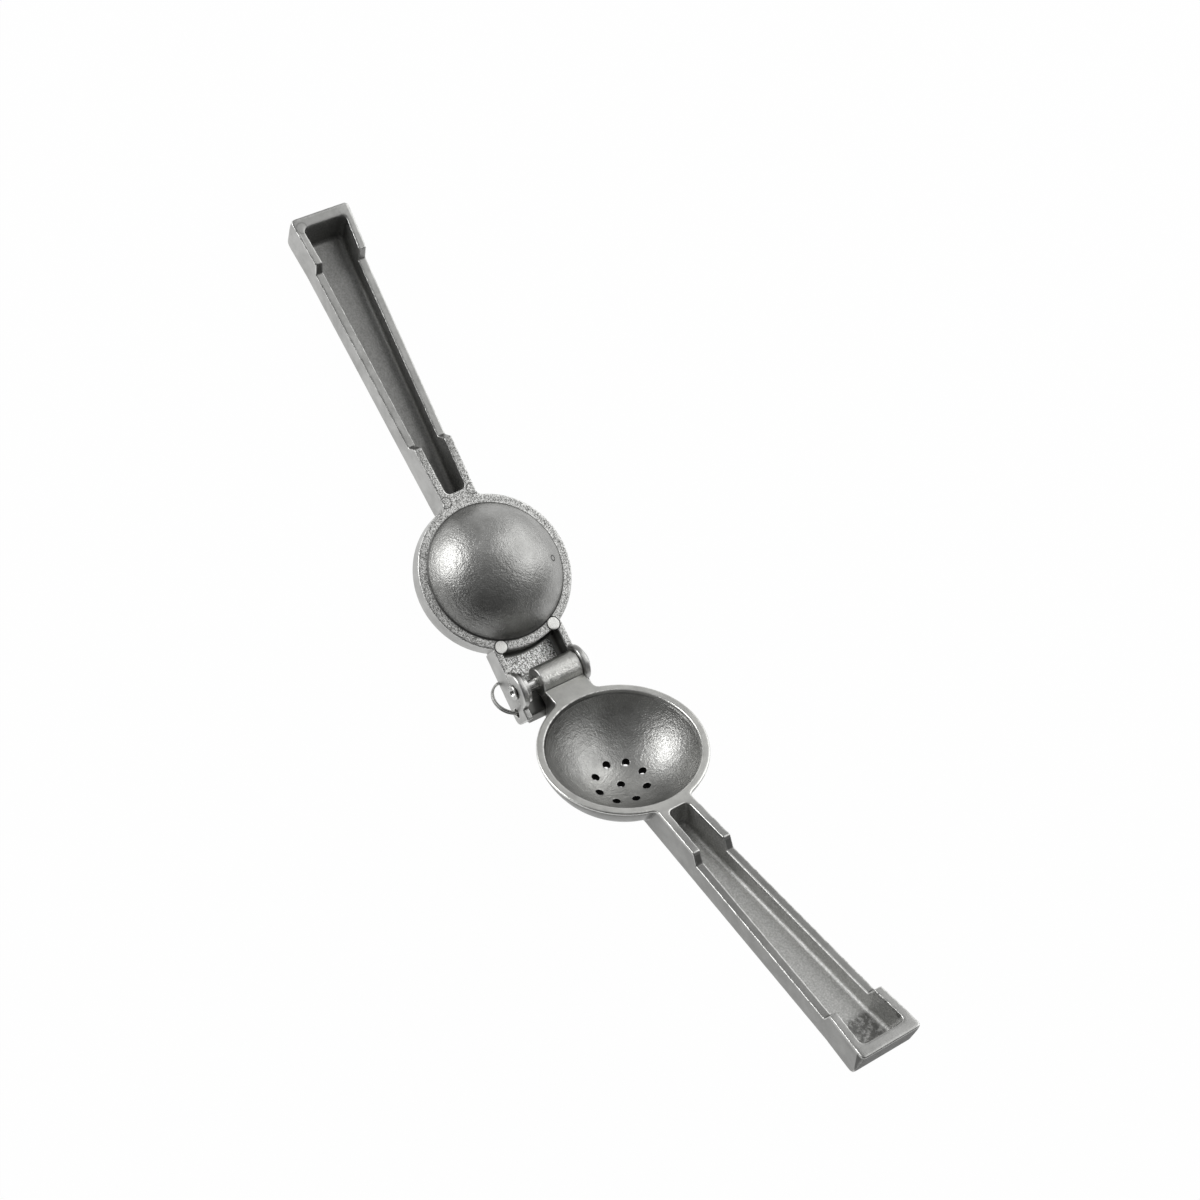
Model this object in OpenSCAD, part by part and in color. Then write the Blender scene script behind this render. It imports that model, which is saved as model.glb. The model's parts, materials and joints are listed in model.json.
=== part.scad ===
// Hinged citrus squeezer: two aluminium castings on one riveted pin.
// X runs along the handles, Y along the hinge pin and Z up.
// It lies on the back of the press half's handle, open against its stop.

/* [Handles] */
// Distance from the hinge axis to the tip of each handle
handle_reach = 192.6; // [176:0.2:210]
// Depth of each handle from its rim face to its back
handle_depth = 13.3; // [12.4:0.1:15]
// Width of each handle where it leaves the bowl
root_width = 14.4; // [12:0.2:17]
// Width of each handle at the start of its end block
shoulder_width = 21.6; // [19:0.2:25]
// Width of each handle at its tip
tip_width = 24.6; // [22:0.2:28]
// Thickness of the handle's side walls at the rim
side_wall = 3; // [2:0.1:3.6]
// Thickness of the wall that closes the handle's end
end_wall = 4.1; // [3:0.1:6]
// Thickness of the handle's floor
handle_floor = 2.3; // [1.6:0.1:3.5]
// How far the side walls between the lips drop below the rim face
lip_height = 4.5; // [2:0.1:6]
// Length of the raised lip beside the bowl
near_lip = 22; // [14:0.5:40]
// Length of the raised lip at the handle's end
end_lip = 19; // [12:0.5:40]
// Run of each lip's sloping end
lip_run = 2.4; // [1:0.1:5]
// How far the handle's end face leans in from rim to back
end_lean = 3.9; // [1:0.1:6]
// Radius of the handle's end corners
corner_r = 2; // [1:0.1:3]
// Radius where the end face turns into the back
toe_r = 3; // [1:0.1:5]
// Radius of the long edges of the handle's back
back_edge_r = 1; // [0.5:0.1:1.6]
// Radius of the fillet round the floor of the channel
channel_r = 2; // [1:0.1:2.4]

/* [Cup half] */
// Distance from the hinge axis to the centre of cup and dome
bowl_x = 43.1; // [42.5:0.1:46]
// Radius of the cup's flange
cup_flange_r = 31; // [30.6:0.1:33]
// Thickness of the cup's flange
cup_flange = 1.3; // [1:0.1:2.5]
// Radius of the cup's mouth
cup_mouth_r = 27.7; // [27:0.1:28.6]
// Depth of the cup
cup_depth = 20; // [19:0.2:24]
// Height of the upright wall between the flange and the cup's sphere
mouth_wall = 1.2; // [0.6:0.1:1.6]
// Thickness of the cup's wall
cup_wall = 3; // [2:0.1:3.6]
// Diameter of each drain hole
drain_d = 2.6; // [1.6:0.1:4]
// Radius of the ring of drain holes
drain_ring_r = 9.4; // [7:0.1:13]
// Number of drain holes round the centre one
drain_count = 8; // [4:1:10]
// Width of the neck and length of the hinge barrel
neck_width = 17; // [14:0.1:17]
// Distance from the hinge axis to the neck's stop face
stop_face = 6; // [5.6:0.1:7]

/* [Press half] */
// Radius of the press half's rim
press_rim_r = 29.7; // [29:0.1:31]
// Thickness of the press half's rim
press_rim = 7.5; // [5:0.1:9]
// Radius of the dome at the rim face
dome_r = 26.1; // [24:0.1:26.4]
// Height of the dome above the rim face
dome_height = 17.5; // [14:0.2:18.2]
// Thickness of the dome's shell
dome_wall = 3; // [2:0.1:4]

/* [Hinge] */
// Largest angle between the two rim faces
open_angle = 144.6; // [135:0.1:150]
// Height of the hinge axis above each rim face
axis_rise = 0.15; // [0.1:0.05:0.4]
// Diameter of the barrel round the pin
barrel_d = 11; // [10:0.1:11.4]
// Diameter of the pin
pin_d = 4; // [3:0.1:5]
// Radial play of the pin in the barrel
barrel_play = 0.06; // [0.02:0.01:0.1]
// Radial play of the pin in the ears
ear_play = 0.1; // [0.04:0.01:0.2]
// Distance between the inner faces of the ears
ear_gap = 24; // [23.9:0.1:26]
// Thickness of each ear and of the side wall below it
ear_wall = 2.7; // [2:0.1:3]
// Radius of each ear
ear_r = 7; // [6.4:0.1:7.4]
// Rounding of each ear's rims
ear_edge = 0.8; // [0.3:0.1:1]
// Depth of the hinge box floor below the axis, in front of the barrel
box_floor_z = 7.8; // [7.4:0.1:8]
// Radius of the fillets round the hinge box floor
floor_fillet = 1.7; // [1:0.1:1.7]
// Depth of the ledge behind the barrel
ledge_z = 4; // [3.6:0.1:4.2]
// Thickness of the hinge box floor and ledge
box_floor = 1.2; // [1:0.1:1.2]
// Depth of the wall that ends the ledge
end_depth = 7.2; // [6:0.1:7.6]
// Depth of the hinge box walls beside the rim
box_depth = 9.6; // [9:0.1:10]
// Depth of the walls at the tail
tail_depth = 10.8; // [10.4:0.1:12]
// Length of the tail behind the hinge axis
tail_reach = 11.4; // [11:0.1:14]
// Diameter of the pin's head
head_d = 9; // [7:0.1:10]
// Thickness of the pin's head
head_height = 2; // [1.2:0.1:3]
// Diameter of the flared end of the pin
flare_d = 5.8; // [5.2:0.1:7]
// Diameter of the washer inside one ear
washer_d = 11.8; // [8:0.1:11.8]
// Thickness of the washer
washer = 1.3; // [0.8:0.1:1.6]
// How far the open cup half lies along the pin from the middle, away from the washer
side_shift = 3.4; // [0:0.1:3.4]
// Diameter of the two rest pads on the press half's rim face
pad_d = 5; // [3.6:0.1:5.2]
// How far the rest pads stand above the rim face
pad_rise = 0.12; // [0.05:0.01:0.15]
// Radius of the fillets where handles and neck run into the rims
root_fillet = 2.6; // [1:0.1:3.5]

/* [Split ring] */
// Mean diameter of the split ring
ring_d = 14; // [13:0.2:16]
// Diameter of the ring's wire
wire_d = 0.95; // [0.7:0.05:1]
// Gap between the ring's two turns
turn_gap = 0.05; // [0.03:0.01:0.1]
// Distance from the hinge axis back to the ring's hole
ring_hole_x = 7; // [6.9:0.1:7.1]
// Depth of the ring's hole below the hinge axis
ring_hole_z = 7; // [7:0.05:7.2]
// Diameter of the ring's hole
ring_hole_d = 3.4; // [3.4:0.05:3.5]
// How far the ring dips below level
ring_dip = 20.5; // [20:0.5:20.5]
// How far the ring leans down towards the inside of the hinge box
ring_lean = 11; // [9:0.5:11]
// How far the ring's centre lies inside the wall that it hangs in
ring_inset = 0.5; // [0:0.1:0.6]

/* [Hidden] */
$fn = 72;
eps = 0.01;
over = 1;

// stations along a handle, from the edge of the press half's rim: where its width starts to grow,
// where its near lip starts and where its channel starts
rim_edge = bowl_x + press_rim_r;
root_x = rim_edge + 2.2;
lip_x = rim_edge + 1;
channel_x = rim_edge + 3.1;
near_lip_x = lip_x + near_lip;
shoulder_x = handle_reach - end_lip;
channel_draft = 0.5;
// how far inside the cup's mouth and inside the press half's rim the handles are rooted
cup_root = 10;
press_root = 3;
// rounding of the rims' edges, and how far a fillet is sunk into what it joins
edge_r = 0.5;
fillet_sink = 0.06;

// the toe arc at the end of a handle, tangent to the end face and the back
lean = sqrt(pow(end_lean, 2) + pow(handle_depth, 2));
toe_z = -handle_depth + toe_r;
toe_x = handle_reach - end_lean * (handle_depth - toe_r) / handle_depth - toe_r * lean / handle_depth;

// spheres of the cup and the dome, each through its rim circle and its lowest or highest point
cup_cap = cup_depth - mouth_wall;
cup_sphere_r = (pow(cup_mouth_r, 2) + pow(cup_cap, 2)) / (2 * cup_cap);
cup_sphere_z = cup_sphere_r - cup_depth;
dome_sphere_r = (pow(dome_r, 2) + pow(dome_height, 2)) / (2 * dome_height);
dome_sphere_z = dome_height - dome_sphere_r;

// the hinge box
box_width = ear_gap + 2 * ear_wall;
box_front = bowl_x - dome_r;
washer_clear = 0.2;
end_thick = 1.5;
stop_gap = 0.04;
// the ramp under the barrel touches a circle that clears the washer, at the edge of the ledge
clear_r = washer_d / 2 + washer_clear;
ledge_edge = sqrt(pow(clear_r, 2) - pow(ledge_z, 2));

// the rest pads sit a little outside the middle of the rim's face and inside the walls of the box
pad_offset = 0.6;
pad_y = ear_gap / 2 - pad_offset;
pad_x = bowl_x - sqrt(pow((dome_r + press_rim_r) / 2 + pad_offset, 2) - pow(pad_y, 2));

// the ring's wire: steps along it and sides round it, the angles where it starts and where it
// crosses to the other turn, and how far it is wound
ring_steps = 96;
ring_sides = 10;
ring_start = 3;
cross_from = 330;
cross_to = 358;
ring_wound = 684;
turn_pitch = wire_d + turn_gap;

// the overall box is centred across the handles, whatever the side shift
wide = max(side_shift + press_rim_r, cup_flange_r);
cup_y = (wide - cup_flange_r) / 2;
press_y = cup_y - side_shift;

// the cup half stands up from the press half's plane by this angle at its open stop
raise = 180 - open_angle;

// the axis stands over the middle of the whole length, one handle depth above the base
cup_end = cos(raise) * toe_x - sin(raise) * (toe_z - axis_rise) + toe_r;
axis_x = (handle_reach - cup_end) / 2;
axis_z = handle_depth + axis_rise;

// half width of a handle at a station x along it
function half_width(x) = x <= shoulder_x
    ? root_width / 2 + (x - root_x) * (shoulder_width - root_width) / 2 / (shoulder_x - root_x)
    : shoulder_width / 2 + (x - shoulder_x) * (tip_width - shoulder_width) / 2 / end_lip;

// X station where the stop plane crosses the height z in the press half's frame
function stop_x(z) = (-stop_face + stop_gap + z * sin(open_angle)) / -cos(open_angle);

// X stations where the upper and lower faces of the ramp under the barrel meet the height z
function ramp_x(z) = -ledge_edge - (z + ledge_z) * ledge_z / ledge_edge;
function under_x(z) = ramp_x(z) - box_floor * clear_r / ledge_edge;

// angle along the ring's wire at a step, and the height of the wire at an angle
function ring_angle(i) = ring_start + i * ring_wound / ring_steps;
function ring_rise(a) = a < cross_from ? 0 : a > cross_to ? turn_pitch
    : turn_pitch * (1 - cos(180 * (a - cross_from) / (cross_to - cross_from))) / 2;

// material outside a rounded corner of a block that lies towards -X and -Y of the corner
module corner_tool(r) {
    difference() {
        translate([-r, -r]) square(r + over);
        translate([-r, -r]) circle(r);
    }
}

// fills an inner corner, with a floor along +X and a wall along +Y, by a fillet that reaches deep into the wall
module corner_fill(r, deep) {
    difference() {
        translate([-deep, -over]) square([deep + r, over + r]);
        translate([r, r]) circle(r + fillet_sink);
    }
}

// fills the corner between a rim of radius rim_r round bowl_x and a straight side that leaves it towards +X;
// the side passes the half width w at station x0 and widens by m per unit of X
module root_fillet_plan(rim_r, x0, w, m) {
    k = sqrt(1 + m * m);
    b = w + m * (bowl_x - x0) + root_fillet * k;
    reach = (sqrt(pow((rim_r + root_fillet) * k, 2) - b * b) - m * b) / (k * k);
    centre = [bowl_x + reach, b + m * reach];
    on_rim = [bowl_x, 0] + (centre - [bowl_x, 0]) * rim_r / (rim_r + root_fillet);
    on_side = centre + root_fillet * [m, -1] / k;
    for (side = [0, 1]) mirror([0, side]) difference() {
        polygon([on_rim, centre, on_side, on_side - [0, over], on_rim - [over, over]]);
        translate(centre) circle(root_fillet + fillet_sink);
    }
}

// the fillet plan for a handle, and the one for a neck or box of constant width on the hinge side
module handle_fillet(rim_r) {
    root_fillet_plan(rim_r, root_x, half_width(root_x), half_width(root_x + 1) - half_width(root_x));
}

module neck_fillet(rim_r, width) {
    translate([2 * bowl_x, 0]) mirror([1, 0]) root_fillet_plan(rim_r, bowl_x, width / 2, 0);
}

// a disc with rounded rims, its top face at z = 0
module rounded_disc(r, t, e) {
    translate([0, 0, -t]) rotate_extrude() {
        square([r - e, t]);
        translate([0, e]) square([r, t - 2 * e]);
        translate([r - e, e]) circle(e, $fn = 32);
        translate([r - e, t - e]) circle(e, $fn = 32);
    }
}

// plan of a handle from station x0 to its tip
module handle_plan(x0) {
    difference() {
        polygon([
            [x0, -half_width(x0)], [shoulder_x, -shoulder_width / 2], [handle_reach, -tip_width / 2],
            [handle_reach, tip_width / 2], [shoulder_x, shoulder_width / 2], [x0, half_width(x0)]
        ]);
        for (side = [0, 1]) mirror([0, side])
            translate([handle_reach, tip_width / 2]) corner_tool(corner_r);
    }
}

// side profile of a handle, with its leaning end face and rounded toe
module handle_profile(x0, root_cut) {
    polygon([
        [x0, 0], [handle_reach, 0],
        [toe_x + toe_r * handle_depth / lean, toe_z - toe_r * end_lean / lean],
        [toe_x, toe_z], [toe_x, -handle_depth],
        [x0 + root_cut, -handle_depth], [x0, -handle_depth + root_cut]
    ]);
    translate([toe_x, toe_z]) circle(toe_r);
}

// extrudes a profile drawn in X and Z to a width centred on Y
module across(width) {
    rotate([90, 0, 0]) linear_extrude(width, center = true) children();
}

// rounds one long edge of the back, between two stations
module back_edge_tool(x0, x1) {
    turn = atan2(half_width(x1) - half_width(x0), x1 - x0);
    run = norm([half_width(x1) - half_width(x0), x1 - x0]);
    translate([x0, half_width(x0), -handle_depth]) rotate([0, 0, turn])
        rotate([90, 0, 90]) linear_extrude(run + over) mirror([0, 1]) corner_tool(back_edge_r);
}

// one corner post of the channel: a ball at the floor and a disc above the rim face
module channel_post(x_top, x_floor, half) {
    translate([x_floor, half - channel_r - channel_draft, -handle_depth + handle_floor + channel_r])
        sphere(channel_r, $fn = 24);
    translate([x_top, half - channel_r, over]) cylinder(r = channel_r, h = eps, $fn = 24);
}

// one stretch of the channel, between two pairs of posts
module channel_stretch(x0, x1_top, x1_floor) {
    hull() for (side = [0, 1]) mirror([0, side, 0]) {
        channel_post(x0, x0, half_width(x0) - side_wall);
        channel_post(x1_top, x1_floor, half_width(x1_top) - side_wall);
    }
}

// a handle with its channel and its two pairs of raised lips
module handle(x0, root_cut) {
    tip_post = handle_reach - end_wall - channel_r;
    difference() {
        intersection() {
            translate([0, 0, -handle_depth]) linear_extrude(handle_depth) handle_plan(x0);
            across(2 * tip_width) handle_profile(x0, root_cut);
        }
        for (side = [0, 1]) mirror([0, side, 0]) {
            back_edge_tool(x0, shoulder_x);
            back_edge_tool(shoulder_x, handle_reach);
        }
        channel_stretch(channel_x + channel_r, shoulder_x, shoulder_x);
        channel_stretch(shoulder_x, tip_post, tip_post - end_lean);
        across(2 * tip_width) polygon([
            [near_lip_x - lip_run * over / lip_height, over], [near_lip_x + lip_run, -lip_height],
            [shoulder_x - lip_run, -lip_height], [shoulder_x + lip_run * over / lip_height, over]
        ]);
    }
}

// side profile of the cup half's neck, from the barrel to the bowl
module neck_profile() {
    bowl_overlap = 2;
    stop_relief = 0.5;
    // the underside meets the barrel at this angle below the neck, just inside its surface
    under_turn = 65;
    under_r = barrel_d / 2 - 0.25;
    heel_x = bowl_x - cup_mouth_r + bowl_overlap;
    polygon([
        [0, -axis_rise], [heel_x, -axis_rise], [heel_x, -handle_depth],
        [stop_face, -handle_depth], [stop_face, -stop_face - stop_relief],
        [under_r * cos(under_turn), -under_r * sin(under_turn)]
    ]);
    circle(d = barrel_d);
}

// cup half: bowl with drain holes, flange, channelled handle, neck and barrel; rim face at -axis_rise
module cup_half() {
    difference() {
        union() {
            translate([0, 0, -axis_rise]) {
                translate([bowl_x, 0, 0]) {
                    rounded_disc(cup_flange_r, cup_flange, edge_r);
                    intersection() {
                        translate([0, 0, cup_sphere_z]) sphere(cup_sphere_r + cup_wall);
                        translate([0, 0, -cup_sphere_r * 2])
                            cylinder(r = cup_flange_r - edge_r, h = cup_sphere_r * 2);
                    }
                }
                handle(bowl_x + cup_mouth_r - cup_root, 0);
                translate([0, 0, -cup_flange + fillet_sink]) linear_extrude(cup_flange - 2 * fillet_sink) {
                    handle_fillet(cup_flange_r);
                    neck_fillet(cup_flange_r, neck_width);
                }
            }
            across(neck_width) neck_profile();
        }
        translate([bowl_x, 0, -axis_rise]) {
            translate([0, 0, cup_sphere_z]) sphere(cup_sphere_r);
            translate([0, 0, -mouth_wall]) cylinder(r = cup_mouth_r, h = mouth_wall + over);
            drain_holes();
        }
        rotate([90, 0, 0]) cylinder(d = pin_d + 2 * barrel_play, h = neck_width + 2 * over, center = true);
    }
}

// the drain holes: one in the centre and a ring round it
module drain_holes() {
    drop = 2 * cup_depth;
    translate([0, 0, -drop]) cylinder(d = drain_d, h = drop);
    for (i = [0 : drain_count - 1])
        rotate([0, 0, i * 360 / drain_count])
            translate([drain_ring_r, 0, -drop]) cylinder(d = drain_d, h = drop);
}

// a wall of the hinge box, centred on its thickness, with a deeper tail that carries the ring's hole
// and an ear with rounded rims
module box_wall() {
    tail_r = 2.4;
    across(ear_wall) difference() {
        polygon([
            [box_front, -axis_rise], [box_front, -box_depth], [-ring_hole_x, -tail_depth],
            [-tail_reach, -tail_depth], [-tail_reach, -axis_rise]
        ]);
        translate([-tail_reach, -tail_depth]) mirror([1, 0]) mirror([0, 1]) corner_tool(tail_r);
    }
    translate([0, ear_wall / 2, 0]) rotate([-90, 0, 0]) rounded_disc(ear_r, ear_wall, ear_edge);
}

// side profile of the hinge box floor: deep in front, then up under the barrel to a ledge, whose
// sloping end wall stops the neck
module box_floor_profile() {
    deep_top = -box_floor_z;
    deep_under = deep_top - box_floor;
    ledge_under = -ledge_z - box_floor;
    polygon([
        [box_front, deep_top], [ramp_x(deep_top), deep_top], [-ledge_edge, -ledge_z],
        [stop_x(-ledge_z), -ledge_z], [stop_x(-end_depth), -end_depth],
        [stop_x(-end_depth) + end_thick, -end_depth], [stop_x(ledge_under) + end_thick, ledge_under],
        [under_x(ledge_under), ledge_under], [under_x(deep_under), deep_under], [box_front, deep_under]
    ]);
}

// fillets round the deep floor of the hinge box, along its walls and along the rim, which they also
// carry down to the floor
module box_floor_fillets() {
    start = ramp_x(floor_fillet - box_floor_z);
    run = box_front - edge_r - start;
    translate([0, 0, -box_floor_z]) intersection() {
        translate([start, -box_width / 2 + over, -over])
            cube([run, box_width - 2 * over, floor_fillet + 2 * over]);
        union() {
            for (side = [0, 1]) mirror([0, side, 0]) translate([start - over, -ear_gap / 2, 0])
                rotate([90, 0, 90]) linear_extrude(run + 2 * over) corner_fill(floor_fillet, over);
            translate([bowl_x, 0, 0]) rotate_extrude()
                translate([press_rim_r, 0]) corner_fill(floor_fillet, press_rim_r - dome_r);
        }
    }
}

// press half: dome, rim, channelled handle and hinge box; rim face at -axis_rise, handle towards +X
module press_half() {
    difference() {
        union() {
            translate([0, 0, -axis_rise]) {
                translate([bowl_x, 0, 0]) {
                    rounded_disc(press_rim_r, press_rim, edge_r);
                    intersection() {
                        translate([0, 0, dome_sphere_z]) sphere(dome_sphere_r);
                        translate([0, 0, -edge_r]) cylinder(r = dome_r + over, h = dome_height + over);
                    }
                }
                handle(rim_edge - press_root, press_root);
                translate([0, 0, -press_rim + fillet_sink]) linear_extrude(press_rim - 2 * fillet_sink)
                    handle_fillet(press_rim_r);
                for (side = [-1, 1]) translate([pad_x, side * pad_y, -press_rim + edge_r])
                    cylinder(d = pad_d, h = press_rim - edge_r + pad_rise);
            }
            for (side = [-1, 1]) translate([0, side * (ear_gap + ear_wall) / 2, 0]) box_wall();
            across(ear_gap + eps) box_floor_profile();
            box_floor_fillets();
        }
        translate([bowl_x, 0, dome_sphere_z - axis_rise]) sphere(dome_sphere_r - dome_wall);
        rotate([90, 0, 0]) cylinder(d = pin_d + 2 * ear_play, h = box_width + 2 * over, center = true);
        translate([-ring_hole_x, box_width / 2 - ear_wall / 2, -ring_hole_z])
            rotate([90, 0, 0]) cylinder(d = ring_hole_d, h = ear_wall + 2 * over, center = true);
    }
}

// pin: domed head on one side, flared tubular end on the other; its axis is Z here, the head on top
module pin() {
    dome = 0.8;
    flare = 1;
    bore_d = 1.8;
    bore_depth = 3;
    bore_edge = 0.7;
    difference() {
        union() {
            translate([0, 0, -box_width / 2 - flare]) cylinder(d = pin_d, h = box_width + flare + eps);
            translate([0, 0, box_width / 2]) {
                cylinder(d = head_d, h = head_height - dome);
                intersection() {
                    cap_r = (pow(head_d / 2, 2) + pow(dome, 2)) / (2 * dome);
                    translate([0, 0, head_height - cap_r]) sphere(cap_r);
                    cylinder(d = head_d, h = head_height);
                }
            }
            translate([0, 0, -box_width / 2 - flare]) {
                cylinder(d = flare_d, h = flare / 2);
                translate([0, 0, flare / 2]) cylinder(d1 = flare_d, d2 = flare_d - flare, h = flare / 2);
            }
        }
        translate([0, 0, -box_width / 2 - flare - eps]) {
            cylinder(d = bore_d, h = bore_depth);
            cylinder(d1 = bore_d + 2 * bore_edge, d2 = bore_d, h = bore_edge);
        }
    }
}

// washer with its bore clear of the pin, lying on z = 0
module washer_disc() {
    difference() {
        cylinder(d = washer_d, h = washer);
        translate([0, 0, -over]) cylinder(d = pin_d + 4 * ear_play, h = washer + 2 * over);
    }
}

// split ring: one wire wound nearly twice round, crossing from the lower turn to the upper one
module wire_coil() {
    points = [for (i = [0 : ring_steps], k = [0 : ring_sides - 1])
        let (a = ring_angle(i), b = k * 360 / ring_sides, r = ring_d / 2 + wire_d / 2 * cos(b))
        [r * cos(a), r * sin(a), ring_rise(a) - turn_pitch / 2 + wire_d / 2 * sin(b)]];
    faces = concat(
        [[for (k = [0 : ring_sides - 1]) k]],
        [for (i = [0 : ring_steps - 1], k = [0 : ring_sides - 1])
            let (n = (k + 1) % ring_sides, p = i * ring_sides, q = p + ring_sides)
            [p + k, q + k, q + n, p + n]],
        [[for (k = [ring_sides - 1 : -1 : 0]) ring_steps * ring_sides + k]]
    );
    polyhedron(points, faces, convexity = 6);
}

// places a piece that is drawn round the hinge axis in the frame of the whole
module on_axis(y) {
    translate([axis_x, y, axis_z]) children();
}

module press_casting() {
    color("darkgray") on_axis(press_y) rotate([0, 0, 180]) press_half();
}

module cup_casting() {
    color("silver") on_axis(cup_y) rotate([0, -raise, 0]) cup_half();
}

module hinge_pin() {
    color("gray") on_axis(press_y) rotate([-90, 0, 0]) pin();
}

module hinge_washer() {
    color("lightgray") on_axis(press_y - ear_gap / 2 + washer) rotate([90, 0, 0]) washer_disc();
}

module split_ring() {
    half_chord = sqrt(pow(ring_d / 2, 2) - pow(ring_inset, 2));
    color("gainsboro") on_axis(press_y)
        translate([ring_hole_x, -(box_width - ear_wall) / 2, -ring_hole_z])
        rotate([0, -ring_dip, 0]) rotate([-ring_lean, 0, 0])
        translate([-half_chord, ring_inset, 0]) rotate([0, 0, 90]) wire_coil();
}

press_casting();
cup_casting();
hinge_pin();
hinge_washer();
split_ring();
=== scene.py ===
import json
import math

import bpy
import numpy as np
from mathutils import Matrix, Vector


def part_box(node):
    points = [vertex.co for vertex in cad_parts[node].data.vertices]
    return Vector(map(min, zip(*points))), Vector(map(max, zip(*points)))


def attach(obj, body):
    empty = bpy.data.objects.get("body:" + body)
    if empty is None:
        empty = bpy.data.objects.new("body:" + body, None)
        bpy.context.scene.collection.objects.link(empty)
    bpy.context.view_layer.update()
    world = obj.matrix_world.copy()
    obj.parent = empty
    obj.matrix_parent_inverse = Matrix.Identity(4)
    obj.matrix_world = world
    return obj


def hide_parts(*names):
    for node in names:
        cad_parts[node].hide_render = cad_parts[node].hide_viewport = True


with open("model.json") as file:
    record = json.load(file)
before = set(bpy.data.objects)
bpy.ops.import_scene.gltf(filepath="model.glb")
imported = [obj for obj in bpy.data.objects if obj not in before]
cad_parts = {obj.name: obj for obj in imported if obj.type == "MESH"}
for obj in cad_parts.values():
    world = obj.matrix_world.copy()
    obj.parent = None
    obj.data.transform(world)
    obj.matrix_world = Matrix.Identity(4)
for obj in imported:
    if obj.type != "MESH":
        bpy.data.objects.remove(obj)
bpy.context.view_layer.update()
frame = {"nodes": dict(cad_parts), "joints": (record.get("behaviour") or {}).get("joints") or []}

# ---- Camera ----
# A moderately long lens looks steeply down on the open tool, turned on its axis so that the
# handles run from corner to corner of the picture.
MM = 0.001
camera_place = Vector((55.51, -331.69, 780.3)) * MM
camera_right = Vector((0.4421, 0.8235, 0.3555)).normalized()
camera_view = Vector((-0.0675, 0.4257, -0.9023)).normalized()
camera_up = camera_right.cross(camera_view)
camera_data = bpy.data.cameras.new("camera")
camera_data.sensor_width = 36
camera_data.lens = 68.7
camera_data.clip_start = 0.01
camera = bpy.data.objects.new("camera", camera_data)
bpy.context.scene.collection.objects.link(camera)
turn = Matrix((camera_right, camera_up, -camera_view)).transposed()
camera.matrix_world = Matrix.Translation(camera_place) @ turn.to_4x4()
bpy.context.scene.camera = camera
bpy.context.scene.view_settings.view_transform = "Standard"


# ---- Floor and background ----
# A sheet of matt white paper under the tool. What the lens and the metal see of it is plain
# white, and a little of the tool's shadow stays on it.
def linear(code):
    """Turns an sRGB hex colour into Blender's linear RGBA."""
    parts = [int(code[i:i + 2], 16) / 255 for i in (1, 3, 5)]
    return (*[c / 12.92 if c <= 0.04045 else ((c + 0.055) / 1.055) ** 2.4 for c in parts], 1.0)


def add(tree, kind, *values, **settings):
    """Adds a node. The values go to its sockets in order, and each setting to the property or the
    socket of its name. A value may be a number or colour, another node's output, or another node,
    which stands for its first output."""
    node = tree.nodes.new("ShaderNode" + kind)
    sockets = list(zip(node.inputs, values))
    for name, value in settings.items():
        if hasattr(node, name):
            setattr(node, name, value)
        else:
            sockets.append((node.inputs[name.replace("_", " ")], value))
    for socket, value in sockets:
        if isinstance(value, bpy.types.Node):
            value = value.outputs[0]
        if isinstance(value, bpy.types.NodeSocket):
            tree.links.new(value, socket)
        else:
            socket.default_value = value
    return node


def new_material(name):
    """A material with an empty node tree."""
    material = bpy.data.materials.new(name)
    material.use_nodes = True
    material.node_tree.nodes.clear()
    return material


# what shows is nearly all plain white, and the rest is the sheet as the lamps light it
plain_share = 0.985
paper = new_material("white paper sweep")
tree = paper.node_tree
path = add(tree, "LightPath").outputs
seen = add(tree, "Math", path["Is Camera Ray"], path["Is Glossy Ray"], operation="MAXIMUM")
seen = add(tree, "Math", seen, path["Is Transmission Ray"], operation="MAXIMUM")
sheet = add(tree, "BsdfDiffuse", Color=linear("#e8e8e6"))
glow = add(tree, "Emission", Color=(1, 1, 1, 1), Strength=1.0)
glow_share = add(tree, "Math", seen, plain_share, operation="MULTIPLY")
mixed = add(tree, "MixShader", glow_share, sheet, glow)
add(tree, "OutputMaterial", Surface=mixed)
bpy.ops.mesh.primitive_plane_add(size=8)
floor = bpy.context.object
floor.name = "floor"
floor.data.materials.append(paper)

# The room that the metal mirrors: dim overhead, darker beyond the cup handle's far side and
# lighter opposite. The lens sees it as white paper.
lighter_way = (-0.77, 0.64, 0.0)
mean_light = 0.29
light_swing = 0.27
least_light = 0.05
world = bpy.data.worlds.new("room")
bpy.context.scene.world = world
world.use_nodes = True
tree = world.node_tree
tree.nodes.clear()
look = add(tree, "TexCoord").outputs["Generated"]
light_side = add(tree, "VectorMath", look, lighter_way, operation="DOT_PRODUCT").outputs["Value"]
room_light = add(tree, "Math", light_side, light_swing, mean_light, operation="MULTIPLY_ADD")
room_light = add(tree, "Math", room_light, least_light, operation="MAXIMUM")
path = add(tree, "LightPath").outputs
seen = add(tree, "Math", path["Is Camera Ray"], path["Is Transmission Ray"], operation="MAXIMUM")
strength = add(tree, "Math", room_light, seen, operation="MAXIMUM")
sky = add(tree, "Background", Strength=strength, Color=(1, 1, 1, 1))
add(tree, "OutputWorld", Surface=sky)

# ---- Lights ----
# A small softbox low beyond the press handle, and a large one opposite it that reaches high.
tool_middle = Vector((0.0, 0.0, 0.03))


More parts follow.
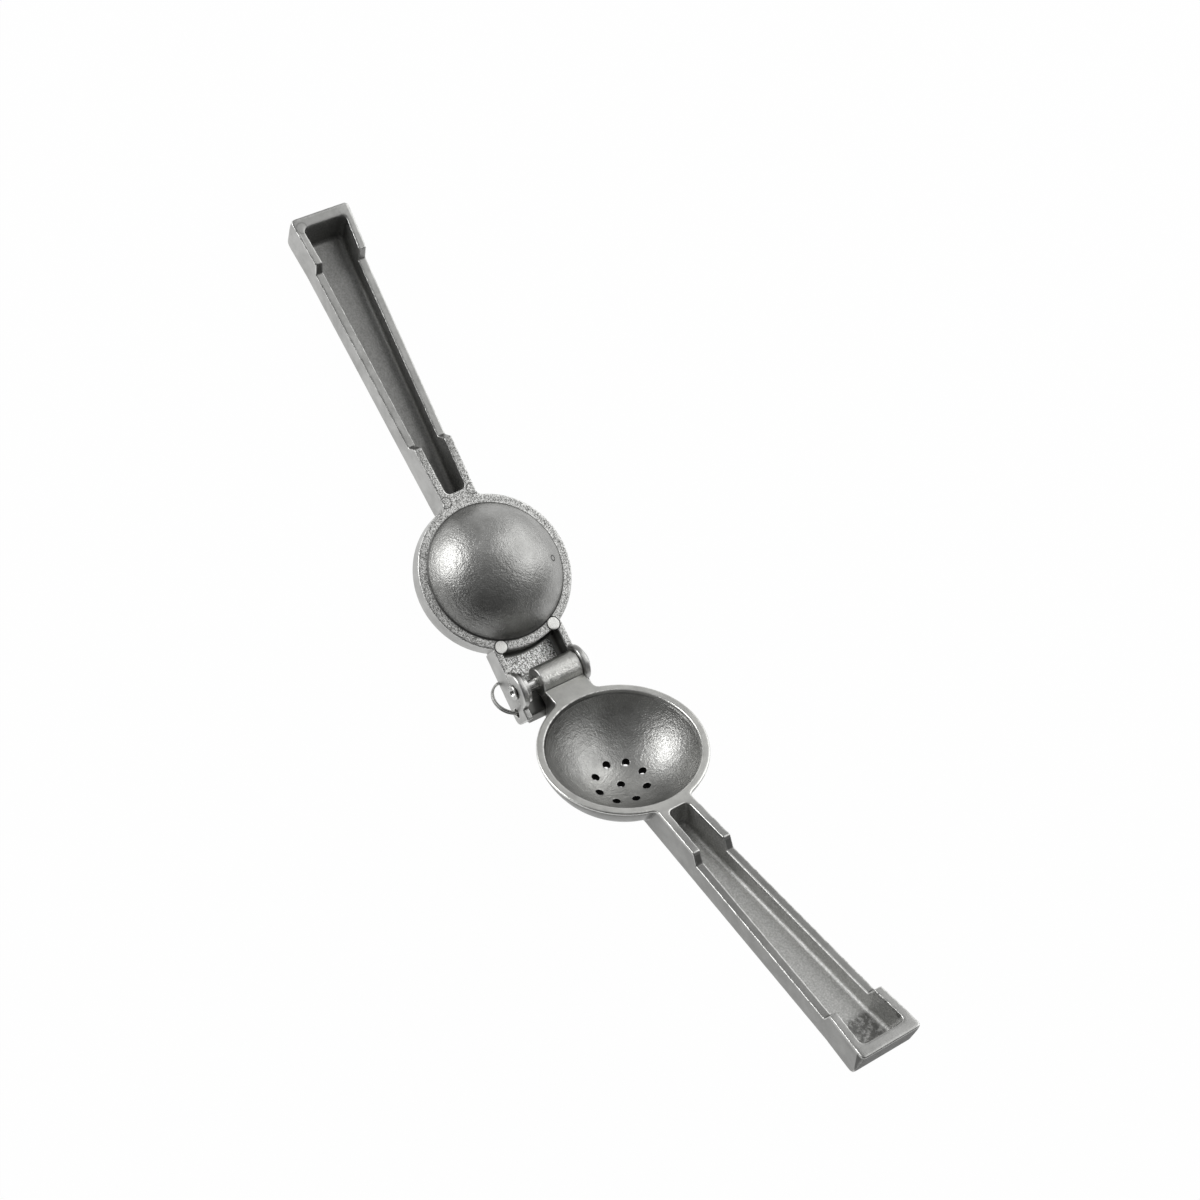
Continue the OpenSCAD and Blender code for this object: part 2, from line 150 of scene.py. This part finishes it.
def softbox(name, azimuth, elevation, distance, size, radiance):
    """An area lamp that faces the tool, with its angles in degrees and its distance and size in
    metres. Its watts follow from its area and its brightness."""
    lamp = bpy.data.lights.new(name, "AREA")
    lamp.shape = "RECTANGLE"
    lamp.size, lamp.size_y = size
    lamp.energy = radiance * size[0] * size[1] * math.pi
    item = bpy.data.objects.new(name, lamp)
    bpy.context.scene.collection.objects.link(item)
    a, e = math.radians(azimuth), math.radians(elevation)
    towards = Vector((math.cos(a) * math.cos(e), math.sin(a) * math.cos(e), math.sin(e)))
    item.location = tool_middle + towards * distance
    item.rotation_euler = (-towards).to_track_quat("-Z", "Y").to_euler()


softbox("key softbox", 225, 8, 0.9, (0.64, 0.46), 6.5)
softbox("fill softbox", 105, 37, 1.0, (1.15, 1.25), 1.45)

# ---- Press half ----
# A gravity casting in aluminium, tumbled smooth: a dome on a rim, a box with two ears for the
# hinge, and a handle cast as a trough. The dome is left as cast, and the rim's face and the floor
# of the box are sand-blasted.

# sizes in mm, along the handle from the hinge's axis and up from the rim's face
bowl_x = 43.1  # the axis of the dome, and of the other half's bowl
foot_r = 26.3  # of the dome
rim_r = 31.2
face_low, face_high = -0.75, 0.4  # what counts as the face, with its rounded edges
pad_x, pad_y, pad_r = 16.9, 11.4, 2.35  # two ground pads, one on each side
box_end, box_half_width = 17.4, 12.3
box_low, box_high = -8.4, -0.9
floor_start, floor_half_width, floor_high = -4, 10.4, -6.9  # the level part of the box's floor
handle_x, handle_half_width, handle_widening = 75.0, 7.2, 0.0365
lip_low = -5.2  # the handle's lowered lips
tip_end = 191.6
channel_start, channel_end = 75.6, 188.9
channel_low, channel_high, channel_wall = -12.4, -0.9, 2.6

# the skin over each casting: its first squares, the passes that round it, and its final triangles
skin_square = 0.28
relax_passes = 40
skin_triangles = 180000


def applied(piece):
    """Turns the piece's modifiers into its mesh."""
    graph = bpy.context.evaluated_depsgraph_get()
    piece.data = bpy.data.meshes.new_from_object(piece.evaluated_get(graph))
    piece.modifiers.clear()


def places_of(mesh):
    """The mesh's vertices as rows of x, y and z."""
    places = np.empty(len(mesh.vertices) * 3)
    mesh.vertices.foreach_get("co", places)
    return places.reshape(-1, 3)


def softened(node, softness):
    """A skin over the casting: fine squares, relaxed so that every edge is round, then thinned.
    softness gives each vertex its share of the relaxing."""
    piece = bpy.data.objects.new(node + "_skin", frame["nodes"][node].data.copy())
    bpy.context.scene.collection.objects.link(piece)
    weld = piece.modifiers.new("weld", "WELD")
    weld.merge_threshold = 0.01 * MM
    skin = piece.modifiers.new("skin", "REMESH")
    skin.mode = "VOXEL"
    skin.voxel_size = skin_square * MM
    applied(piece)
    squares = len(piece.data.polygons)
    relax = piece.modifiers.new("relax", "SMOOTH")
    relax.factor = 0.5
    relax.iterations = relax_passes
    shares = np.round(softness(places_of(piece.data)), 1)
    group = piece.vertex_groups.new(name="softness")
    for share in np.unique(shares):
        group.add(np.flatnonzero(shares == share).tolist(), float(share), "REPLACE")
    relax.vertex_group = "softness"
    thin = piece.modifiers.new("thin", "DECIMATE")
    thin.ratio = min(1.0, skin_triangles / (2 * squares))
    applied(piece)
    piece.data.materials.clear()
    piece.data.shade_smooth()
    return piece


def note_bends(mesh):
    """Stores how sharply the surface bends at each vertex, per mm: positive on edges, which get a painted
    highlight, negative in creases, which get painted shade. It is the mean over the vertex's edges of the
    normals' difference along the edge, divided by the edge's length squared."""
    places = places_of(mesh)
    normals = np.empty(len(mesh.vertices) * 3)
    mesh.vertex_normals.foreach_get("vector", normals)
    normals = normals.reshape(-1, 3)
    ends = np.empty(len(mesh.edges) * 2, dtype=np.int32)
    mesh.edges.foreach_get("vertices", ends)
    start, end = ends[0::2], ends[1::2]
    step = places[end] - places[start]
    bend = ((normals[end] - normals[start]) * step).sum(axis=1) / (step ** 2).sum(axis=1) * MM
    total = np.bincount(start, bend, len(places)) + np.bincount(end, bend, len(places))
    count = np.bincount(start, minlength=len(places)) + np.bincount(end, minlength=len(places))
    stored = mesh.attributes.new("bend", "FLOAT", "POINT")
    stored.data.foreach_set("value", total / np.maximum(count, 1))


def distance(tree, *pairs):
    """How far a point lies from a place, from one pair of coordinates for each direction."""
    squares = []
    for value, middle in pairs:
        offset = add(tree, "Math", value, middle, operation="SUBTRACT")
        squares.append(add(tree, "Math", offset, 2.0, operation="POWER"))
    return add(tree, "Math", add(tree, "Math", *squares, operation="ADD"), operation="SQRT")


def in_half(tree, hinge, axis, angle):
    """The shaded point in a half's own frame, in mm: x along its handle, y along the pin, z out of
    its rim face, and the distance from the axis of its dome or bowl."""
    place = add(tree, "TexCoord").outputs["Object"]
    levelled = add(tree, "VectorRotate", Vector=place, rotation_type=axis, Center=hinge, Angle=angle)
    moved = add(tree, "VectorMath", levelled, hinge, operation="SUBTRACT")
    own = add(tree, "VectorMath", moved, operation="SCALE", Scale=1 / MM)
    x, y, z = add(tree, "SeparateXYZ", own).outputs
    return x, y, z, distance(tree, (x, bowl_x), (y, 0.0))


def all_of(tree, *masks):
    """The product of masks and shares: a mask that is 1 only where each of them is."""
    whole = masks[0]
    for mask in masks[1:]:
        whole = add(tree, "Math", whole, mask, operation="MULTIPLY")
    return whole


def between(tree, value, low=None, high=None, fade=0.3):
    """1 where the value lies past a lower limit, short of an upper one, or both, fading out over a
    short stretch at each."""
    masks = []
    if low is not None:
        masks.append(add(tree, "MapRange", value, From_Min=low - fade / 2, From_Max=low + fade / 2))
    if high is not None:
        masks.append(add(tree, "MapRange", value, From_Min=high + fade / 2, From_Max=high - fade / 2))
    return all_of(tree, *masks)


def within_handle(tree, x, side, margin):
    """The points that lie more than a margin inside a handle's sides, which spread as x grows."""
    at_hinge = handle_half_width - handle_widening * handle_x
    half_width = add(tree, "Math", x, handle_widening, at_hinge, operation="MULTIPLY_ADD")
    reach = add(tree, "Math", side, margin, operation="ADD")
    return add(tree, "Math", reach, half_width, operation="LESS_THAN")


def in_channel(tree, x, side, z):
    """The inside of a handle's channel."""
    return all_of(
        tree, within_handle(tree, x, side, channel_wall), between(tree, x, channel_start, channel_end),
        between(tree, z, channel_low, channel_high),
    )


def cast_aluminium(tree, cast, dull, rubbed_and_highlight, shade_and_darker_tops, black_marks_and_shade, blasted=0.0, ground=0.0, painted_light=0.0):
    """Cast aluminium, with a mask from 0 to 1 for each way its surface looks: cloudy and grainy
    as cast, dull and gritty in the channels, bright where rubbed and where a highlight is painted,
    darkened by painted shade in corners, recesses and round the cup and a little on the handles' tops,
    black in marks and, as painted shade, in drain holes, at the dome's foot and on the cup handle's
    end, speckled where blasted, pale where ground flat, and glittering with painted light in specks.
    Where no mask reaches it is satin from tumbling."""
    place = add(tree, "TexCoord").outputs["Object"]
    # Clouds and patches have the size that a mould's coating leaves. The coating's own grain and
    # the marks of blasting are about 0.2 mm, too fine to show here, so both are drawn coarser.
    clouds = add(tree, "TexNoise", Vector=place, Scale=1 / (8 * MM), Detail=6.0, Roughness=0.62)
    patches = add(tree, "TexNoise", Vector=place, Scale=1 / (2.2 * MM), Detail=3.0, Roughness=0.6)
    grain = add(tree, "TexNoise", Vector=place, Scale=1 / (0.7 * MM), Detail=2.0, Roughness=0.7)
    speckle = add(tree, "TexNoise", Vector=place, Scale=1 / (0.42 * MM), Detail=1.0, Roughness=0.5)

    tones = []
    for pattern, low, dark, high, pale in (
        (clouds, 0.32, "#9e9e9c", 0.68, "#b8b8b6"),
        (speckle, 0.34, "#686866", 0.64, "#dadad8"),
        (grain, 0.36, "#aaaaa8", 0.64, "#c6c6c4"),
    ):
        ramp = add(tree, "ValToRGB", pattern)
        first, last = ramp.color_ramp.elements
        first.position = low
        first.color = linear(dark)
        last.position = high
        last.color = linear(pale)
        tones.append(ramp)
    tumbled_tone, blasted_tone, gritty_tone = tones
    colour = add(tree, "MixRGB", blasted, tumbled_tone, blasted_tone)
    colour = add(tree, "MixRGB", dull, colour, gritty_tone)

    # painted highlights on sharp edges in patches, painted shade in creases, and painted glints in the
    # grain of the cast skin
    bend = add(tree, "Attribute", attribute_name="bend").outputs["Fac"]
    sharp = add(tree, "MapRange", bend, From_Min=0.22, From_Max=0.7)
    crease = add(tree, "MapRange", bend, From_Min=-0.18, From_Max=-0.7)
    in_patches = add(tree, "MapRange", patches, From_Min=0.34, From_Max=0.56)
    glints = all_of(tree, add(tree, "MapRange", grain, From_Min=0.64, From_Max=0.72), cast, 0.4)
    edge_highlight = add(tree, "Math", all_of(tree, sharp, in_patches), 0.5, glints, operation="MULTIPLY_ADD")
    cloudy = add(tree, "MapRange", clouds, From_Min=0.35, From_Max=0.65, To_Min=0.55)
    # in order: the cast skin's dark tone, ground faces, painted shade, painted shade in creases, painted
    # highlights and glints, rubbed pads and a painted highlight, and black marks with painted shade
    for mask, shade in (
        (all_of(tree, cast, 0.2), "#5e5e5c"),
        (all_of(tree, ground, cloudy), "#d2d2ce"),
        (shade_and_darker_tops, "#5a5a58"),
        (all_of(tree, crease, 0.6), "#343432"),
        (edge_highlight, "#e4e4e2"),
        (rubbed_and_highlight, "#f2f2ee"),
        (black_marks_and_shade, "#161616"),
    ):
        colour = add(tree, "MixRGB", mask, colour, linear(shade))
    # painted light in specks, where the box's floor lies in shade
    painted_light_specks = all_of(tree, painted_light, add(tree, "MapRange", speckle, From_Min=0.42, From_Max=0.6))
    colour = add(tree, "MixRGB", painted_light_specks, colour, linear("#b4b4b2"), blend_type="ADD")

    rough = add(tree, "Math", patches, 0.2, 0.27, operation="MULTIPLY_ADD")
    for mask, change in ((blasted, 0.12), (dull, 0.15), (edge_highlight, -0.15), (black_marks_and_shade, 0.5)):
        rough = add(tree, "Math", mask, change, rough, operation="MULTIPLY_ADD")

    # heights in mm
    patch_height = all_of(tree, patches, cast, 0.16)
    grain_size = add(tree, "Math", cast, 0.13, 0.025, operation="MULTIPLY_ADD")
    grain_size = add(tree, "Math", dull, 0.025, grain_size, operation="MULTIPLY_ADD")
    height = add(tree, "Math", patch_height, all_of(tree, grain, grain_size), operation="ADD")
    height = add(tree, "Math", height, all_of(tree, speckle, blasted, 0.07), operation="ADD")
    bump = add(tree, "Bump", Height=height, Strength=1.0, Distance=1 * MM)
    metal = add(tree, "BsdfPrincipled", Base_Color=colour, Roughness=rough, Normal=bump, Metallic=1.0)
    add(tree, "OutputMaterial", Surface=metal)


def dress(node, body, material, softness):
    """Puts a casting's skin in the place of its node."""
    skin = softened(node, softness)
    note_bends(skin.data)
    skin.data.materials.append(material)
    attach(skin, body)
    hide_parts(node)


# the pin's head stands out 1 mm further than its lip, so the half's middle isn't the pin's
joints = {joint["name"]: joint for joint in frame["joints"]}
hinge = Vector(joints["squeeze_hinge"]["pos_m"])
press_y = sum(corner.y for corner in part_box("hinge_pin")) / 2 - 0.5 * MM
press_hinge = Vector((hinge.x, press_y, hinge.z))

press_metal = new_material("cast aluminium, blasted face")
tree = press_metal.node_tree
x, y, z, radius = in_half(tree, press_hinge, "Z_AXIS", math.pi)
side = add(tree, "Math", y, operation="ABSOLUTE")
on_face = between(tree, z, face_low, face_high)
above_face = between(tree, z, low=0)
dome = all_of(tree, between(tree, radius, high=foot_r), above_face)
# the blasted face, which fades out over the box's ears and part of the way along the handle
face = all_of(tree, between(tree, radius, low=foot_r), on_face, between(tree, x, -4, 98, 12))

# the pads, ground bright, each with a dark line round it
from_pad = distance(tree, (x, pad_x), (side, pad_y))
pad = all_of(tree, between(tree, from_pad, high=pad_r, fade=0.2), on_face, 0.7)
pad_outline = all_of(tree, between(tree, from_pad, pad_r, pad_r + 0.4, 0.2), on_face, 0.8)

# the hinge box: its walls are darkened with painted shade, and its floor is blasted and brightened with
# painted light in specks
short_of_rim = between(tree, x, high=box_end)
in_box = all_of(
    tree, short_of_rim, between(tree, side, high=box_half_width), between(tree, z, box_low, box_high)
)
box_floor = all_of(
    tree, between(tree, x, low=floor_start), short_of_rim, between(tree, side, high=floor_half_width),
    between(tree, z, box_low, floor_high), between(tree, radius, low=rim_r),
)
box_walls = add(tree, "Math", in_box, box_floor, operation="SUBTRACT")

# painted shade in a dark line at the dome's foot, and faint rings left by the ejector pins: x, y, radius,
# strength
foot = all_of(tree, between(tree, radius, foot_r - 0.55, foot_r - 0.05, 0.2), between(tree, z, -0.3, 0.8))
marks_and_foot_shade = all_of(tree, foot, 0.5)
for mark_x, mark_y, mark_r, darkness in (
    (73.4, 5.9, 2.1, 0.5), (74.8, -6.0, 2.1, 0.5), (188.3, 9.1, 2.1, 0.2), (38.0, -18.2, 1.0, 0.8)
):
    from_mark = distance(tree, (x, mark_x), (y, mark_y))
    mark = all_of(
        tree, between(tree, from_mark, mark_r - 0.2, mark_r + 0.2, 0.2),
        add(tree, "Math", z, face_low, operation="GREATER_THAN"),
    )
    marks_and_foot_shade = add(tree, "Math", mark, darkness, marks_and_foot_shade, operation="MULTIPLY_ADD")

# painted shade round the dome's foot, on the sides to the front and to the hinge
along = add(tree, "Math", x, bowl_x, operation="SUBTRACT")
front = add(tree, "Math", along, -0.5, y, operation="MULTIPLY_ADD")
front = add(tree, "MapRange", front, From_Min=6, From_Max=22)
low_dome = all_of(tree, between(tree, radius, 22.5, foot_r, 3.5), above_face, front)
deep_shade = add(
    tree, "Math", all_of(tree, box_walls, 0.75), all_of(tree, low_dome, 0.4), operation="MAXIMUM"
)

# darker along the handle: a little on its tops, more with painted shade in its channel, and less on the
# channel's walls
channel = in_channel(tree, x, side, z)
channel_sides = all_of(tree, channel, between(tree, z, -10.6, 0))
off_channel = add(tree, "Math", 1.0, channel, operation="SUBTRACT")
tops = all_of(
    tree, between(tree, z, lip_low, face_high), between(tree, x, low=90, fade=14),
    between(tree, x, high=tip_end, fade=0.8), within_handle(tree, x, side, 0.5), off_channel,
)
handle_shade_and_tops = add(tree, "Math", all_of(tree, tops, 0.45), all_of(tree, channel, 0.62), operation="ADD")
handle_shade_and_tops = add(tree, "Math", channel_sides, -0.2, handle_shade_and_tops, operation="MULTIPLY_ADD")

# painted light on the box's floor, and painted shade in the box, round the dome's foot and in the channel
cast_aluminium(
    tree,
    cast=dome,
    blasted=add(tree, "Math", face, box_floor, operation="MAXIMUM"),
    dull=channel,
    painted_light=box_floor,
    rubbed_and_highlight=pad,
    shade_and_darker_tops=add(tree, "Math", deep_shade, handle_shade_and_tops, operation="MAXIMUM"),
    black_marks_and_shade=add(tree, "Math", pad_outline, marks_and_foot_shade, operation="MAXIMUM"),
)

# how soft the skin is: slightly round over most of a half, and fully round at its handle's tip
edge_softness = 0.2
tip_x, tip_fade = 185.5, 3.5


def rounder_tip(along_x):
    """The softness at each distance along a half."""
    return edge_softness + (1 - edge_softness) * np.clip((along_x - tip_x) / tip_fade, 0, 1)


def press_softness(places):
    """The softness at each vertex of the press half, whose handle points to negative x."""
    return rounder_tip((hinge.x - places[:, 0]) / MM)


dress("press_casting", "press_half", press_metal, press_softness)

# ---- Cup half ----
# The twin casting: a thin bowl left as cast, with drain holes drilled through it, in a flange
# ground flat, with a handle cast as a trough, and a neck whose barrel turns on the pin.

# at rest it is raised, and stands off centre along the pin by the room that the ears leave
raise_angle = math.radians(35.4)
side_shift = 3.4 * MM
bowl_z, bowl_r = 9.65, 29.8  # the centre and radius of the bowl's hollow sphere
wall = 2.8  # of the bowl, with a margin
mouth_r, flange_r = 27.6, 27.9  # where the bowl ends and the flange's face begins
barrel_r, neck_x = 5.7, 7
handle_end_x = 189.3
drain_count, drain_ring_r, drain_r = 8, 9.4, 1.5
drain_step = math.radians(360 / drain_count)

cup_metal = new_material("cast aluminium, drained cup")
tree = cup_metal.node_tree
cup_hinge = Vector((hinge.x, press_y + side_shift, hinge.z))
x, y, z, radius = in_half(tree, cup_hinge, "Y_AXIS", raise_angle)
side = add(tree, "Math", y, operation="ABSOLUTE")
from_centre = distance(tree, (radius, 0.0), (z, bowl_z))
bowl = all_of(
    tree, between(tree, radius, high=mouth_r), between(tree, z, high=-0.5),
    between(tree, from_centre, high=bowl_r + 3.4),
)
barrel = between(tree, distance(tree, (x, 0.0), (z, 0.0)), high=barrel_r)

# pale areas: a patch on the bowl's floor, the flange's ground face, and the barrel
from_pale_patch = distance(tree, (x, bowl_x + 4), (y, -4))
pale_floor_patch = all_of(
    tree, bowl, between(tree, from_centre, high=31), between(tree, from_pale_patch, high=12, fade=9), 0.7
)
trimmed = all_of(
    tree, between(tree, radius, low=flange_r), between(tree, z, face_low, face_high),
    between(tree, x, high=80, fade=16),
)
trimmed = add(tree, "Math", trimmed, all_of(tree, barrel, 0.7), operation="MAXIMUM")

# painted shade: on the whole outside, most of all round the cup, on the handle's end, and in a line inside
# the mouth; the handle's tops are also a little darker
channel = in_channel(tree, x, side, z)
inside = add(tree, "Math", channel, bowl, operation="MAXIMUM")
off_inside = add(tree, "Math", 1.0, inside, operation="SUBTRACT")
outer = all_of(tree, between(tree, z, high=-1.3), between(tree, x, low=neck_x), off_inside)
round_cup = between(tree, radius, high=30, fade=14)
outer = all_of(tree, outer, add(tree, "Math", round_cup, 0.3, 0.5, operation="MULTIPLY_ADD"))
tops = all_of(tree, between(tree, z, -0.9, face_high), between(tree, x, low=80, fade=12), 0.2)
mouth = all_of(
    tree, between(tree, radius, 26.8, 28.4), between(tree, z, -1.8, 0.3), between(tree, y, high=6, fade=8)
)
handle_end = all_of(tree, between(tree, z, high=-1), between(tree, x, low=handle_end_x))

# blotchy painted shade near the far end of the channel, and a painted highlight in a streak along the
# barrel
place = add(tree, "TexCoord").outputs["Object"]
blots = add(tree, "TexNoise", Vector=place, Scale=1 / (1.6 * MM), Detail=4.0, Roughness=0.7)
blotchy_end_shade = all_of(
    tree, between(tree, x, 173, 184, 2), between(tree, y, -5.7, 6.6, 2), channel,
    add(tree, "MapRange", blots, From_Min=0.36, From_Max=0.52), 0.8,
)
ragged = add(tree, "Math", blots, 0.5, operation="SUBTRACT")
around_pin = add(tree, "Math", z, x, operation="ARCTAN2")
around_pin = add(tree, "Math", ragged, 1.1, around_pin, operation="MULTIPLY_ADD")
barrel_highlight = all_of(tree, barrel, between(tree, around_pin, 0.5, 0.85, 0.08), 0.8)

# the walls of the drain holes, painted black as shade: the nearest hole of the ring, or the one in the
# middle
along = add(tree, "Math", x, bowl_x, operation="SUBTRACT")
bearing = add(tree, "Math", y, along, operation="ARCTAN2")
hole = add(tree, "Math", add(tree, "Math", bearing, drain_step, operation="DIVIDE"), operation="ROUND")
off_hole = add(tree, "Math", bearing, all_of(tree, hole, drain_step), operation="SUBTRACT")
across = all_of(tree, radius, add(tree, "Math", off_hole, operation="SINE"))
outwards = all_of(tree, radius, add(tree, "Math", off_hole, operation="COSINE"))
from_ring = distance(tree, (across, 0.0), (outwards, drain_ring_r))
from_hole = add(tree, "Math", from_ring, radius, operation="MINIMUM")
holes = all_of(
    tree, between(tree, from_hole, high=drain_r, fade=0.15),
    between(tree, from_centre, bowl_r - 0.4, bowl_r + wall),
)

# painted shade on the outside, the handle's end, the mouth and the channel's far end; black as painted
# shade in the drain holes; a painted highlight along the barrel
outside_shade = add(tree, "Math", handle_end, 0.4, outer, operation="MULTIPLY_ADD")
inside_shade_and_tops = add(tree, "Math", mouth, 0.75, tops, operation="MULTIPLY_ADD")
inside_shade_and_tops = add(tree, "Math", inside_shade_and_tops, blotchy_end_shade, operation="ADD")
cast_aluminium(
    tree,
    cast=add(tree, "Math", bowl, barrel, operation="MAXIMUM"),
    dull=channel,
    rubbed_and_highlight=barrel_highlight,
    ground=add(tree, "Math", pale_floor_patch, trimmed, operation="ADD"),
    shade_and_darker_tops=add(tree, "Math", outside_shade, inside_shade_and_tops, operation="ADD"),
    black_marks_and_shade=add(tree, "Math", handle_end, 0.3, holes, operation="MULTIPLY_ADD"),
)

crisp_r = 2.2  # round each drain hole's axis, where its edges stay as drilled


def cup_softness(places):
    """As on the other half, but with none near a drain hole's axis. Distances across the bowl are
    taken in the complex plane."""
    own = (places - np.array(cup_hinge)) / MM
    along_x = own[:, 0] * math.cos(raise_angle) + own[:, 2] * math.sin(raise_angle)
    holes = [0j] + [drain_ring_r * np.exp(1j * drain_step * number) for number in range(drain_count)]
    point = along_x - bowl_x + 1j * own[:, 1]
    off_holes = np.min([abs(point - hole) for hole in holes], axis=0) > crisp_r
    return rounder_tip(along_x) * off_holes


dress("cup_casting", "cup_half", cup_metal, cup_softness)


# ---- Riveted pin ----
# A steel rivet through both ears and the barrel, with a domed head at one end. Its other end is
# bored and rolled over into a lip, which holds the tool together.
def plated_steel(name, colour, roughness):
    """Plated steel: an even bright metal whose reflections waver a little where the plate is uneven.
    The unevenness is drawn 0.8 mm wide, coarser than it really is, so that it shows."""
    material = new_material(name)
    tree = material.node_tree
    place = add(tree, "TexCoord").outputs["Object"]
    uneven = add(tree, "TexNoise", Vector=place, Scale=1 / (0.8 * MM), Detail=3.0)
    bump = add(tree, "Bump", Height=uneven, Strength=0.3, Distance=0.03 * MM)
    metal = add(
        tree, "BsdfPrincipled", Base_Color=linear(colour), Roughness=roughness, Normal=bump, Metallic=1.0
    )
    add(tree, "OutputMaterial", Surface=metal)
    return material


def turned(name, profile, start):
    """A turned piece about the hinge's axis: row i, column k is the point that lies as far along the
    axis and as far from it as profile[i] says, at k parts of a full turn. Flat discs close its ends."""
    along, radius = (np.array(profile) * MM).T
    sides = 96
    angle = np.arange(sides) * 2 * math.pi / sides
    points = np.empty((len(profile), sides, 3))
    points[..., 0] = hinge.x + radius[:, None] * np.sin(angle)
    points[..., 1] = start + along[:, None]
    points[..., 2] = hinge.z + radius[:, None] * np.cos(angle)
    row = np.arange(len(profile) * sides).reshape(-1, sides)
    after = np.roll(row, -1, axis=1)
    faces = np.stack([row[:-1], after[:-1], after[1:], row[1:]], axis=-1).reshape(-1, 4).tolist()
    faces += [row[0][::-1].tolist(), row[-1].tolist()]
    mesh = bpy.data.meshes.new(name)
    mesh.from_pydata(points.reshape(-1, 3).tolist(), [], faces)
    mesh.shade_smooth()
    mesh.set_sharp_from_angle(angle=math.radians(50))
    piece = bpy.data.objects.new(name, mesh)
    bpy.context.scene.collection.objects.link(piece)
    return piece


# points in mm along the pin and from its axis: the lip from the start, the head back from the end,
# and the shank between them. The head's dome rises with the square of the radius.
pin_start, pin_end = (corner.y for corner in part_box("hinge_pin"))
pin_length = (pin_end - pin_start) / MM
lip = [
    (3.0, 0.9), (1.5, 0.9), (1.25, 0.96), (1.0, 1.12), (0.72, 1.36), (0.4, 1.64), (0.16, 1.9), (0.03, 2.14),
    (0.0, 2.3), (0.04, 2.52), (0.16, 2.72), (0.36, 2.86), (0.55, 2.9), (0.75, 2.76), (1.0, 2.4), (1.0, 2.0),
]
head = [(2.0, 2.0), (2.0, 4.3), (1.88, 4.44), (1.7, 4.5), (1.32, 4.5), (1.1, 4.4), (0.94, 4.18)]
head += [(0.82 * (r / 4.3) ** 2, r) for r in (3.9, 3.5, 3.0, 2.4, 1.8, 1.2, 0.7, 0.3)]
profile = lip + [(pin_length - back, r) for back, r in head]
# bright zinc: a pale cool grey with soft highlights
zinc = plated_steel("zinc plated steel", "#bcbcba", 0.24)
pin = turned("riveted_pin", profile, pin_start)
pin.data.materials.append(zinc)
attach(pin, "pin")
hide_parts("hinge_pin")

# ---- Washer ----
# A flat steel washer, stamped and plated with zinc like the pin. It lies loose on the pin, between
# the barrel and the ear beside the pin's lip.
washer = frame["nodes"]["hinge_washer"].data
washer.materials.clear()
washer.materials.append(zinc)

# ---- Split ring ----
# Round steel wire in two turns, threaded through the hole in the tail of the hinge box. Nickel
# over drawn wire gives a sharper mirror than the zinc, which turns dark where the room is dark.
nickel = plated_steel("nickel plated wire", "#b4b4b2", 0.16)
ring = frame["nodes"]["split_ring"].data
ring.materials.clear()
ring.materials.append(nickel)
